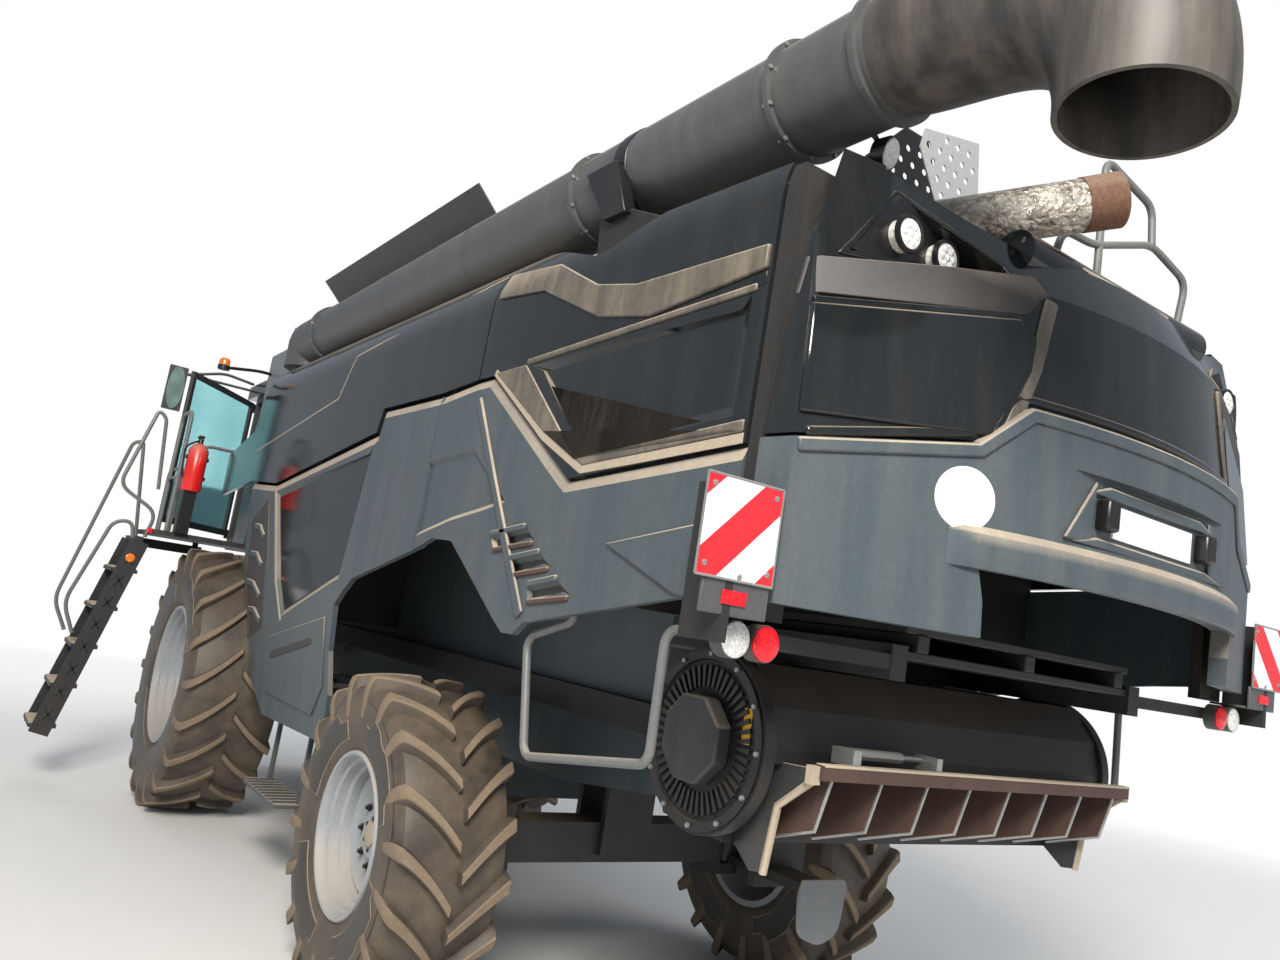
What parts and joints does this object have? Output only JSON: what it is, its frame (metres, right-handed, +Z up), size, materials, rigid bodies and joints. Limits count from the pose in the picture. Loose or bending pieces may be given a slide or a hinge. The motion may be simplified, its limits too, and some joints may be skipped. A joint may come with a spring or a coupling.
{
  "type": "combine harvester",
  "caption": "Self-propelled grain combine with a cab, hopper, swinging unloading tube, feeder house, steered rear axle and hinged side panels.",
  "frame": {"origin": "on the ground below the middle of the whole machine's box", "axes": "+X to the machine's left, +Y rearward along its length, +Z up"},
  "size_m": [4.4656, 9.8799, 4.4072],
  "materials": {
    "tyre": "dusty black tyre rubber",
    "rim_paint": "light silver grey satin paint",
    "slate_paint": "matte slate blue-grey paint",
    "dark_gloss": "glossy near-black paint",
    "dark_matte": "dark grey moulded plastic",
    "chassis_paint": "dark grey chassis paint",
    "grey_paint": "mid grey paint",
    "rail_paint": "grey tube paint",
    "rubber": "black rubber",
    "glass": "blue-green tinted glass",
    "steel": "bare worn steel",
    "wrap": "crinkled foil wrap, browned by heat",
    "lens": "clear and red lamp lenses",
    "sign": "white and red retroreflective sheet, no lettering",
    "seat_fabric": "dark seat cloth",
    "tank_paint": "galvanised grey tank sheet"
  },
  "bodies": {
    "root": {"front_axle": "chassis_paint", "rear_axle": "chassis_paint", "main_frame": "chassis_paint", "rear_hitch": "chassis_paint", "separator_housing": "slate_paint", "grain_tank": "tank_paint", "tank_ridge": "tank_paint", "body_frames": "chassis_paint", "tank_ribs": "chassis_paint", "bulkhead": "chassis_paint", "upper_panel_left": "dark_gloss", "upper_panel_right": "dark_gloss", "arch_panel_left": "slate_paint", "arch_panel_right": "slate_paint", "rear_bumper": "slate_paint", "rear_hood": "dark_gloss", "chopper_housing": "grey_paint", "tailboard": "dark_matte", "lamp_arms": "chassis_paint", "tail_lamps": "lens", "work_lamps": "lens", "warning_plates": "sign", "number_plate": "sign", "exhaust_pipe": "wrap", "heat_shield": "steel", "tube_base": "grey_paint", "cab_shell": "dark_matte", "cab_roof": "dark_gloss", "cab_glass": "glass", "cab_interior": "seat_fabric", "intake_box": "dark_gloss", "platform": "chassis_paint", "hand_rails": "rail_paint", "hoop_guards": "rail_paint", "mirrors": "dark_matte", "engine_block": "chassis_paint"},
    "wheel_front_left": {"tyre_front_left": "tyre", "rim_front_left": "rim_paint"},
    "wheel_front_right": {"tyre_front_right": "tyre", "rim_front_right": "rim_paint"},
    "wheel_rear_left": {"tyre_rear_left": "tyre", "rim_rear_left": "rim_paint"},
    "wheel_rear_right": {"tyre_rear_right": "tyre", "rim_rear_right": "rim_paint"},
    "knuckle_left": {"knuckle_left": "chassis_paint"},
    "lower_panel_left": {"lower_panel_left": "slate_paint"},
    "hood_side_left": {"hood_side_left": "dark_gloss"},
    "tank_lid_left": {"tank_lid_left": "tank_paint"},
    "knuckle_right": {"knuckle_right": "chassis_paint"},
    "lower_panel_right": {"lower_panel_right": "slate_paint"},
    "hood_side_right": {"hood_side_right": "dark_gloss"},
    "tank_lid_right": {"tank_lid_right": "tank_paint"},
    "feeder_house": {"feeder_house": "chassis_paint"},
    "lift_barrels": {"lift_barrels": "chassis_paint"},
    "lift_rods": {"lift_rods": "steel"},
    "unloading_tube": {"unloading_tube": "grey_paint", "spout": "rubber"},
    "cab_door": {"cab_door": "dark_matte", "door_glass": "glass"},
    "ladder": {"ladder": "chassis_paint"}
  },
  "joints": [
    {"name": "wheel_front_left_spin", "type": "hinge", "parent": "root", "child": "wheel_front_left", "pos_m": [1.0942, -2.71, 1.03], "axis": [1, 0, 0], "continuous": true},
    {"name": "wheel_front_right_spin", "type": "hinge", "parent": "root", "child": "wheel_front_right", "pos_m": [-1.7158, -2.71, 1.03], "axis": [1, 0, 0], "continuous": true},
    {"name": "steer_left", "type": "hinge", "parent": "root", "child": "knuckle_left", "pos_m": [0.5492, 1.3, 0.776], "axis": [0, 0, 1], "range_deg": [-30, 30]},
    {"name": "wheel_rear_left_spin", "type": "hinge", "parent": "knuckle_left", "child": "wheel_rear_left", "pos_m": [0.9942, 1.3, 0.776], "axis": [1, 0, 0], "continuous": true},
    {"name": "steer_right", "type": "hinge", "parent": "root", "child": "knuckle_right", "pos_m": [-1.1708, 1.3, 0.776], "axis": [0, 0, 1], "range_deg": [-30, 30]},
    {"name": "wheel_rear_right_spin", "type": "hinge", "parent": "knuckle_right", "child": "wheel_rear_right", "pos_m": [-1.6158, 1.3, 0.776], "axis": [1, 0, 0], "continuous": true},
    {"name": "feeder_lift", "type": "hinge", "parent": "root", "child": "feeder_house", "pos_m": [-0.3108, -2.24, 2], "axis": [1, 0, 0], "range_deg": [-14, 8]},
    {"name": "lift_barrel_tilt", "type": "hinge", "parent": "root", "child": "lift_barrels", "pos_m": [-0.3108, -2.9, 0.86], "axis": [1, 0, 0], "range_deg": [-22.5, 13]},
    {"name": "lift_rod_slide", "type": "slide", "parent": "lift_barrels", "child": "lift_rods", "axis": [0, -0.9846, -0.1747], "range_m": [-0.155, 0.265]},
    {"name": "unloader_swing", "type": "hinge", "parent": "root", "child": "unloading_tube", "pos_m": [0.8892, -2.35, 3.655], "axis": [0, 0, 1], "range_deg": [-95, 0]},
    {"name": "cab_door_swing", "type": "hinge", "parent": "root", "child": "cab_door", "pos_m": [0.7712, -4.695, 2.9], "axis": [0, 0, 1], "range_deg": [0, 38]},
    {"name": "ladder_swing", "type": "hinge", "parent": "root", "child": "ladder", "pos_m": [1.1892, -3.87, 2.04], "axis": [0, 0, 1], "range_deg": [-90, 0]},
    {"name": "lower_panel_left_swing", "type": "hinge", "parent": "root", "child": "lower_panel_left", "pos_m": [1.15306, -2.28, 2.57], "axis": [0.0017, -0.9944, -0.1058], "range_deg": [0, 60]},
    {"name": "lower_panel_right_swing", "type": "hinge", "parent": "root", "child": "lower_panel_right", "pos_m": [-1.77466, -2.28, 2.57], "axis": [0.0017, 0.9944, 0.1058], "range_deg": [0, 60]},
    {"name": "hood_side_left_swing", "type": "hinge", "parent": "root", "child": "hood_side_left", "pos_m": [1.13511, 1.712, 3.42], "axis": [0, -1, 0], "range_deg": [0, 55]},
    {"name": "hood_side_right_swing", "type": "hinge", "parent": "root", "child": "hood_side_right", "pos_m": [-1.75671, 1.712, 3.42], "axis": [0, 1, 0], "range_deg": [0, 55]},
    {"name": "tank_lid_left_fold", "type": "hinge", "parent": "root", "child": "tank_lid_left", "pos_m": [0.5492, -0.715, 4], "axis": [0, -1, 0], "range_deg": [0, 136]},
    {"name": "tank_lid_right_fold", "type": "hinge", "parent": "root", "child": "tank_lid_right", "pos_m": [-1.1708, -0.715, 4], "axis": [0, 1, 0], "range_deg": [0, 136]}
  ],
  "couplings": [
    {"joint": "steer_right", "follows": "steer_left", "ratio": 1},
    {"joint": "lift_barrel_tilt", "follows": "feeder_lift", "ratio": 1.56},
    {"joint": "lift_rod_slide", "follows": "feeder_lift", "m_per_rad": -1.04}
  ]
}
